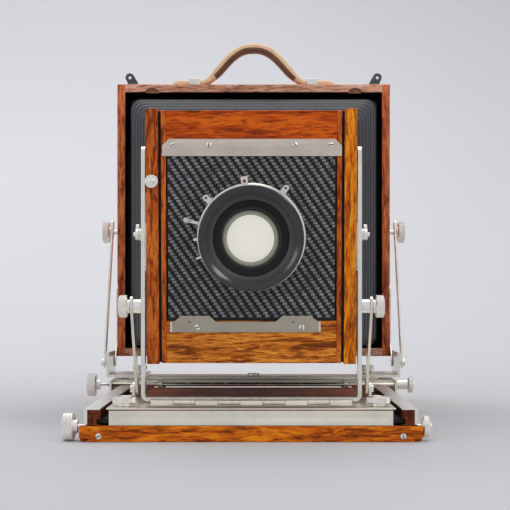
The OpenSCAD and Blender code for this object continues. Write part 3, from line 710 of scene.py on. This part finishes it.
# ---- Lens board and lens ----
BOARD_HALF = 0.0759
BOARD_FRONT = -0.0081
HOLE_RADIUS = 0.034
CLEAR_RADIUS = 0.040    # no bundles are made behind the shutter
BUNDLE = Vector((0.0078, 0.0028))
BUNDLE_STEP = 0.25
BUNDLE_SHARE = 0.27
BUNDLE_HEIGHT = 0.46
BUNDLE_RISE = 0.0004


def lens_board():
    """Square board with a rounded edge and a round hole."""
    back, steps = -0.0034, 64
    bm = bmesh.new()
    hole, rim = [], []
    for i in range(steps):
        a = 2 * math.pi * i / steps
        c, s = math.cos(a), math.sin(a)
        k = BOARD_HALF / max(abs(c), abs(s))
        hole.append(bm.verts.new((HOLE_RADIUS * c, BOARD_FRONT, LENS_Z + HOLE_RADIUS * s)))
        rim.append(bm.verts.new((k * c, BOARD_FRONT, BOARD_Z + k * s)))
    for i in range(steps):
        j = (i + 1) % steps
        bm.faces.new((hole[i], hole[j], rim[j], rim[i]))
    made = bmesh.ops.extrude_face_region(bm, geom=bm.faces[:])["geom"]
    for v in (g for g in made if isinstance(g, bmesh.types.BMVert)):
        v.co.y = back
    return finish_mesh("lens_board_woven", bm, WARP_BLACK, "lens_board", smooth=False)


def weave():
    """Raised fibre bundles on the board. Each row steps sideways, so that they form diagonals."""
    bm = bmesh.new()
    limit, shortest, in_x, in_z = BOARD_HALF - 0.0007, 0.002, 0.0008, 0.0007
    rows = int(2 * limit / BUNDLE.y)
    columns = int(2 * limit / BUNDLE.x) + 2
    for row in range(rows):
        z = BOARD_Z + limit - (row + 0.5) * BUNDLE.y
        shift = (row * BUNDLE_STEP) % 1
        for column in range(columns):
            x = -limit + (column + shift - 0.5) * BUNDLE.x
            x0, x1 = max(-limit, x - BUNDLE.x * BUNDLE_SHARE), min(limit, x + BUNDLE.x * BUNDLE_SHARE)
            if x1 - x0 < shortest or math.hypot(x, z - LENS_Z) < CLEAR_RADIUS:
                continue
            z0, z1 = z - BUNDLE.y * BUNDLE_HEIGHT, z + BUNDLE.y * BUNDLE_HEIGHT
            base = [bm.verts.new((a, BOARD_FRONT + 0.0001, b))
                    for a, b in ((x0, z0), (x1, z0), (x1, z1), (x0, z1))]
            top = [bm.verts.new((a, BOARD_FRONT - BUNDLE_RISE, b))
                   for a, b in ((x0 + in_x, z0 + in_z), (x1 - in_x, z0 + in_z),
                                (x1 - in_x, z1 - in_z), (x0 + in_x, z1 - in_z))]
            bm.faces.new(top)
            bm.faces.new(list(reversed(base)))
            for i in range(4):
                j = (i + 1) % 4
                bm.faces.new((base[i], base[j], top[j], top[i]))
    return finish_mesh("lens_board_weave", bm, BOARD, "lens_board", angle=60, replace=False)


# both are laid out in the board's own upright frame, which then leans with the front frame
for piece in (lens_board(), weave()):
    piece.matrix_world = LEAN
    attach(piece, body_of["lens_board"])
add_bevel(bpy.data.objects["lens_board_woven"], 0.0008, 2)

LENS = LEAN @ Matrix.Translation((0, 0, LENS_Z)) @ Matrix.Rotation(math.radians(90), 4, "X")


def lens_piece(name, node, profile, mats, mat_at=None, steps=128, closed=True, angle=30, replace=True,
               centre=(0, 0)):
    """profile is (radius, distance in front of the pivot plane) in mm, and centre is in mm too."""
    bm = bmesh.new()
    place = LENS @ Matrix.Translation((centre[0] * MM, centre[1] * MM, 0))
    lathe(bm, [(r * MM, h * MM) for r, h in profile], place, steps, mat_at, closed)
    return finish_mesh(name, bm, mats, node, angle=angle, replace=replace)


lens_piece("front_cell_turned", "front_cell", [
    (28.9, 3.4), (28.9, 26.2), (43.6, 26.2), (44.4, 27.0), (45.4, 29.2), (46, 30), (46, 33.4),
    (45.6, 33.8), (45.6, 34.4), (46, 34.8), (46, 52.4), (45.7, 53.2), (45.1, 53.5), (44.4, 53.3),
    (42.4, 52.4), (40.6, 51.3), (40.0, 50.9), (39.4, 50.6), (40.0, 50.3), (39.4, 50.0), (40.0, 49.7),
    (39.4, 49.4), (40.0, 49.1), (39.5, 48.4), (38.8, 48.0), (36.4, 46.9), (34.2, 45.6),
    (33.7, 45.0), (33.4, 43.8), (33.2, 40.4), (32.2, 40.4), (31.6, 38.6), (30.4, 38.6), (29.8, 37.2),
    (28.4, 37.2), (27.8, 36.6), (25.2, 36.6), (25.2, 20), (23.6, 20), (23.6, 3.4)],
    [SATIN_BLACK, CONE_GREY, DEEP_BLACK], lambda k: 2 if k > 26 else 1 if k > 22 else 0)
lens_piece("shutter_housing", "shutter", [
    (29, 3.4), (32, 3.4), (32, 8.7), (44.2, 8.7), (45, 9.4), (45, 21.5), (42.5, 21.5), (42.5, 24.3),
    (45, 24.3), (45, 25.4), (44.4, 26), (29, 26)], [ANODISED])
lens_piece("iris_ring", "front_glass", [
    (20.9, 24.0), (21.2, 24.6), (23.6, 28.2), (24.9, 28.4), (24.9, 23.4), (21.0, 23.4)],
    metal("iris_green_grey", (0.42, 0.45, 0.38), 0.42), replace=False, centre=(-0.8, -0.9))
lens_piece("front_element", "front_glass", [
    (0, 38.2), (6, 37.9), (12, 37.0), (18, 35.3), (22, 33.5), (24.9, 31.8), (24.9, 31.0), (22, 32.7),
    (18, 34.5), (12, 36.2), (6, 37.1), (0, 37.4)], GLASS, closed=False, angle=50)
# The rear element and the disc behind the front glass glow by emission: painted light for the bright view through
# the lens.
lens_piece("rear_element", "rear_glass", [
    (0, -7.9), (12, -8.3), (23.6, -9.6), (23.9, -10.4), (23.9, -19.9), (0, -19.9)],
    PALE_GLOW, closed=False, angle=50)
lens_piece("painted_glow_disc", "front_glass", [
    (0, 22.0), (20.4, 22.0), (20.9, 22.4), (20.9, 23.2), (20.3, 23.3), (0, 23.3)], PALE_GLOW,
    closed=False, replace=False)
lens_piece("rear_cell_turned", "rear_cell", [
    (24.2, 3.1), (31.5, 3.1), (31.5, -1.9), (31.2, -2.4), (31.2, -10), (30.4, -11), (30.4, -22.6),
    (29.6, -24), (27, -24), (24.2, -22.4)], ANODISED)
lens_piece("retaining_ring", "rear_cell", [
    (32.1, 3.2), (37, 3.2), (37, -1.6), (36.4, -2), (32.1, -2)], ANODISED, replace=False)


def speed_ring():
    """Silver ring with fine straight knurling on its rim and a bevelled front edge."""
    ribs = 150
    steps = ribs * 4
    bm = bmesh.new()
    profile = [(45.3, 9.4, 0), (48.4, 9.4, 0), (49, 9.9, 1), (49, 14.6, 1), (48.5, 15.2, 0),
               (48.5, 16.4, 0), (47.2, 17.6, 0), (45.3, 17.6, 0)]
    rings = []
    for r, h, rib in profile:
        ring = []
        for i in range(steps):
            a = 2 * math.pi * i / steps
            cut = 0.55 if rib and i % 4 in (0, 1) and (i // 4) % 15 < 13 else 0
            ring.append(bm.verts.new(LENS @ Vector(((r - cut) * MM * math.cos(a),
                                                   (r - cut) * MM * math.sin(a), h * MM))))
        rings.append(ring)
    for a, b in zip(rings, rings[1:] + rings[:1]):
        for i in range(steps):
            j = (i + 1) % steps
            bm.faces.new((a[i], a[j], b[j], b[i]))
    finish_mesh("speed_ring_knurled", bm, NICKEL, "speed_ring", angle=25)


speed_ring()


def round_lens(angle):
    """Matrix with +X pointing out from the lens axis at an angle, and +Y along the lens axis."""
    return LEAN @ Matrix.Translation((0, 0, LENS_Z)) @ Matrix.Rotation(-math.radians(angle), 4, "Y")


def plate_outline(bm, outline, y0, y1, matrix, mat=0):
    """Extrudes an outline of (x, z) in mm from y0 to y1."""
    a = [bm.verts.new(matrix @ Vector((x * MM, y0 * MM, z * MM))) for x, z in outline]
    b = [bm.verts.new(matrix @ Vector((x * MM, y1 * MM, z * MM))) for x, z in outline]
    n = len(outline)
    faces = [bm.faces.new(a), bm.faces.new(list(reversed(b)))]
    for i in range(n):
        j = (i + 1) % n
        faces.append(bm.faces.new((a[i], b[i], b[j], a[j])))
    for f in faces:
        f.material_index = mat


def arc(cx, cz, r, a0, a1, steps=10):
    return [(cx + r * math.cos(math.radians(a0 + (a1 - a0) * k / steps)),
             cz + r * math.sin(math.radians(a0 + (a1 - a0) * k / steps))) for k in range(steps + 1)]


def shutter_fittings():
    """Two eyed tabs and the sync socket, which stand out past the speed ring."""
    for k, angle in enumerate((55, 139)):
        m = round_lens(angle)
        bm = bmesh.new()
        plate_outline(bm, [(42, -3.4), (48, -3.4), (50, -2.6)] + arc(53.4, 0, 3.0, -60, 60) +
                      [(50, 2.6), (48, 3.4), (42, 3.4)], -20, -18.6, m)
        tab = finish_mesh("shutter_tab_%d" % k, bm, NICKEL, body="lens_panel", smooth=False)
        add_bevel(tab, 0.0003)
        eye = bmesh.new()
        lathe(eye, [(0, 0), (1.3 * MM, 0), (1.3 * MM, 0.1 * MM), (0, 0.1 * MM)],
              m @ Matrix.Translation((0.0535, -0.02005, 0)) @ Matrix.Rotation(math.radians(90), 4, "X"), 24)
        finish_mesh("shutter_eye_%d" % k, eye, DEEP_BLACK, body="lens_panel")
    m = round_lens(97)
    bm = bmesh.new()
    plate_outline(bm, [(42, -3.2), (53.6, -3.2), (54.8, -2.2), (54.8, 2.2), (53.6, 3.2), (42, 3.2)],
                  -21.3, -18.4, m)
    socket = finish_mesh("sync_socket", bm, NICKEL, body="lens_panel", smooth=False)
    add_bevel(socket, 0.0005)
    dot = bmesh.new()
    lathe(dot, [(0, 0), (1.5 * MM, 0), (1.2 * MM, 0.25 * MM), (0, 0.3 * MM)],
          m @ Matrix.Translation((0.0505, -0.0213, 0)) @ Matrix.Rotation(math.radians(90), 4, "X"), 24)
    finish_mesh("sync_dot", dot, RED_DOT, body="lens_panel")


shutter_fittings()


def lens_lever(name, node, angle, outline, y0, y1, mats, tip=None):
    bm = bmesh.new()
    m = round_lens(angle)
    plate_outline(bm, outline, y0, y1, m)
    if tip:
        plate_outline(bm, tip, y0 - 0.6, y1 + 0.5, m, 1)
    add_bevel(finish_mesh(name, bm, mats, node, smooth=False), 0.0003)


lens_lever("cocking_lever_arm", "cocking_lever", 165, [(43, -1.4), (57, -1.4), (57, 1.4), (43, 1.4)],
           -23.6, -22.2, [NICKEL, WHITE],
           arc(60.2, 0, 2.3, -90, 90) + [(55.5, 1.7), (55.5, -1.7)])
lens_lever("release_lever_arm", "release_lever", 182,
           [(43, -1.3), (50, -1.3)] + arc(50.6, 0, 1.3, -90, 90) + [(43, 1.3)], -23.6, -22.2, [NICKEL])
lens_lever("aperture_lever_arm", "aperture_lever", 201,
           [(43, -0.9), (51, -0.9)] + arc(51.6, 0, 1.2, -90, 90) + [(43, 0.9)], -23.6, -22.2, [NICKEL])

# ---- Screws ----
for k, x in enumerate((-0.070, -0.038, 0.039, 0.071)):
    screw("plate_screw_%d" % k, LEAN @ Vector((x, -0.0107, 0.0806)), LENS_AXIS, 0.0025,
          "lens_panel", 0.5 + k * 0.9, KNURL)
for k, x in enumerate((-0.0487, 0.0454)):
    screw("latch_screw_%d" % k, LEAN @ Vector((x, -0.0105, -0.0833)), LENS_AXIS, 0.0027, "latch",
          0.3 + k, KNURL)


def board_latch():
    """Nickel latch: a bar whose ends are folded forward, with two tabs that hold the board."""
    y_back, y_front = -8.9, -10.2
    bm = bmesh.new()
    outline = [(-72.6, -88), (61.6, -88), (61.6, -78.2), (59.6, -78)]
    outline += arc(53, -75.5, 2.5, 30, 90, 4) + arc(29, -76, 3, 90, 130, 4)
    outline += [(22, -78.2), (-32, -78.2)]
    outline += arc(-39, -76, 3, 50, 90, 4) + arc(-63, -75.5, 2.5, 90, 150, 4)
    outline += [(-69.6, -78), (-72.6, -78.2)]
    plate_outline(bm, outline, y_front, y_back, LEAN)
    obj = finish_mesh("board_latch_bar", bm, AGED, "board_latch", smooth=False)
    add_bevel(obj, 0.0003)
    for name, x0, x1 in (("left", -73.6, -71.8), ("right", 60.8, 62.6)):
        fold = bmesh.new()
        add_box(fold, (x0 * MM, -10.4 * MM, -87.8 * MM), (x1 * MM, -9 * MM, -78.2 * MM), 0, LEAN)
        end = finish_mesh("latch_fold_" + name, fold, NICKEL, "board_latch", smooth=False, replace=False)
        add_bevel(end, 0.0005, 3)
    for k, x in enumerate((-56.0, 37.6)):
        bm = bmesh.new()
        plate_outline(bm, arc(x, -78.0, 1.6, 180, 360, 8), y_front - 0.12, y_front + 0.3, LEAN)
        notch = finish_mesh("latch_notch_%d" % k, bm, OXIDE, body="latch", smooth=False)


board_latch()
for k, s in enumerate((-1, 1)):
    screw("bed_front_screw_%d" % k, (s * 0.131, low("side_strips").y + 0.0006, 0.005), (0, -1, 0),
          0.0026, "bed", 0.4 + k * 1.3)


# ---- Bellows ----
BELLOWS_CHAIN = (("front_frame", "riser", 1), ("riser", "yoke", 1), ("yoke", "track", 1),
                 ("track", "bed", 4), ("bed", "rear_slide", 2), ("rear_slide", "swing", 1),
                 ("swing", "rear_standard", 3))
PLEATS = sum(n for _, _, n in BELLOWS_CHAIN)
FRONT_HALF = Vector((0.0820, 0.0945))
REAR_HALF = Vector((0.1445, 0.1445))
FRONT_AT = LEAN @ Vector((0, 0.0138, 0))
BOX_AT = Vector((0, 0.0145, middle("rear_box").z - 0.002))
REAR_AT = BOX_AT + Vector((0, 0.048, 0))
TAPER = (BOX_AT - FRONT_AT).length / ((BOX_AT - FRONT_AT).length + (REAR_AT - BOX_AT).length)
FOLD = 0.0125
CORNER = 0.012
SKIN = 0.0008
CORNER_STEPS = 6
SIDE_CUTS = 8
# Half a pleat, from its valley to its ridge: share of the pleat, share of the fold's depth
HALF_PLEAT = [(0.0, 1.0), (0.04, 0.95), (0.15, 0.71), (0.30, 0.40), (0.42, 0.14), (0.465, 0.03)]
PLEAT = HALF_PLEAT + [(0.5, 0.0)] + [(1 - u, depth) for u, depth in reversed(HALF_PLEAT[1:])]


def bellows_at(t):
    """Middle line at share t of the way back: straight inside the box, tapered in front of it."""
    if t > TAPER:
        return BOX_AT.lerp(REAR_AT, (t - TAPER) / (1 - TAPER))
    return FRONT_AT.lerp(BOX_AT, t / TAPER)


def bellows_ring(bm, t, inset, corner):
    """Rounded rectangle at share t of the way back, leaning with the front frame at its front."""
    k = min(1, t / TAPER)
    half = FRONT_HALF.lerp(REAR_HALF, k) - Vector((inset, inset))
    lean = Matrix.Rotation(TILT * (1 - k), 3, "X")
    ring = []
    for sx, sz, start in ((1, 1, 0), (-1, 1, 90), (-1, -1, 180), (1, -1, 270)):
        for i in range(CORNER_STEPS + 1):
            a = math.radians(start + 90 * i / CORNER_STEPS)
            ring.append(Vector((sx * (half.x - corner) + corner * math.cos(a), 0,
                                sz * (half.y - corner) + corner * math.sin(a))))
    full = []
    for a, b in zip(ring, ring[1:] + ring[:1]):
        cuts = SIDE_CUTS if (b - a).length > CORNER else 1
        full += [a.lerp(b, i / cuts) for i in range(cuts)]
    centre = bellows_at(t)
    return [bm.verts.new(centre + lean @ p) for p in full]


def bellows_piece(index, first, count):
    """One stretch of pleats, between the bodies at its two ends, fixed where it is built."""
    bm = bmesh.new()
    outer = [((first + p + u) / PLEATS, FOLD * depth) for p in range(count) for u, depth in PLEAT]
    outer.append(((first + count) / PLEATS, FOLD))
    rings = [bellows_ring(bm, t, inset, CORNER - inset * 0.3) for t, inset in outer]
    rings += [bellows_ring(bm, t, inset + SKIN, CORNER - inset * 0.3) for t, inset in reversed(outer)]
    n = len(rings[0])
    for a, b in zip(rings, rings[1:] + rings[:1]):
        for i in range(n):
            j = (i + 1) % n
            bm.faces.new((a[i], a[j], b[j], b[i]))
    obj = finish_mesh("bellows_%d" % index, bm, BELLOWS, angle=50)
    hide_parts("bellows")
    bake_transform(obj)


pleat = 0
for number, (front_body, rear_body, pleats) in enumerate(BELLOWS_CHAIN):
    bellows_piece(number, pleat, pleats)
    pleat += pleats


# ---- Handle ----
HALF_SPAN = 0.062
ARCH_STEPS = 40
ROUND_STEPS = 28
TAB_X = (-0.0935, -0.086, -0.074)
TAB_Z = (0.0022, 0.0029, 0.0027)
TAB_THICK = [0.0042, 0.0058, 0.0052]
FOOT_Z = 0.0026
END_WIDTHS = (0.72, 0.97, 0.99)    # shares of half the width at the end, next to it, and further in
# The arch's underside gets the darker leather as painted shade, leaving out this many rings at each end.
SHADED_FROM = 7


def handle():
    """Leather strap: two flat tabs under their clips, and a bell shaped arch between them, its underside painted
    in shade.
    """
    lo, hi = low("handle"), high("handle")
    rise = hi.z - lo.z - 0.0084
    y_mid, half_w = (lo.y + hi.y) / 2, (hi.y - lo.y) / 2
    path = [Vector((x, 0, lo.z + z)) for x, z in zip(TAB_X, TAB_Z)]
    thick = TAB_THICK[:]
    for k in range(ARCH_STEPS + 1):
        x = -HALF_SPAN + 2 * HALF_SPAN * k / ARCH_STEPS
        bell = 0.5 + 0.5 * math.cos(math.pi * abs(x / HALF_SPAN) ** 1.25)
        path.append(Vector((x, 0, lo.z + FOOT_Z + rise * bell)))
        thick.append(0.0054 + 0.0050 * min(1, bell * 3))
    path += [Vector((-p.x, 0, p.z)) for p in reversed(path[:3])]
    thick += reversed(TAB_THICK)
    last = len(path) - 1
    bm = bmesh.new()
    rings = []
    for i, p in enumerate(path):
        tangent = (path[min(i + 1, last)] - path[max(i - 1, 0)]).normalized()
        normal = Vector((-tangent.z, 0, tangent.x))
        width = half_w * END_WIDTHS[min(i, last - i, len(END_WIDTHS) - 1)]
        ring = []
        for k in range(ROUND_STEPS):
            a = 2 * math.pi * k / ROUND_STEPS
            c, s = math.cos(a), math.sin(a)
            y = width * math.copysign(abs(c) ** 0.45, c)
            t = thick[i] / 2 * math.copysign(abs(s) ** 0.55, s)
            ring.append(bm.verts.new(Vector((p.x, y_mid + y, p.z)) + normal * t))
        rings.append(ring)
    for i, (a, b) in enumerate(zip(rings, rings[1:])):
        for k in range(ROUND_STEPS):
            j = (k + 1) % ROUND_STEPS
            face = bm.faces.new((a[k], a[j], b[j], b[k]))
            underside = k >= ROUND_STEPS // 2 and SHADED_FROM < i <= last - SHADED_FROM - 1
            face.material_index = 1 if underside else 0
    bm.faces.new(rings[0])
    bm.faces.new(list(reversed(rings[-1])))
    finish_mesh("handle_strap", bm, [TAN, TAN_SHADED], "handle", angle=60)


handle()
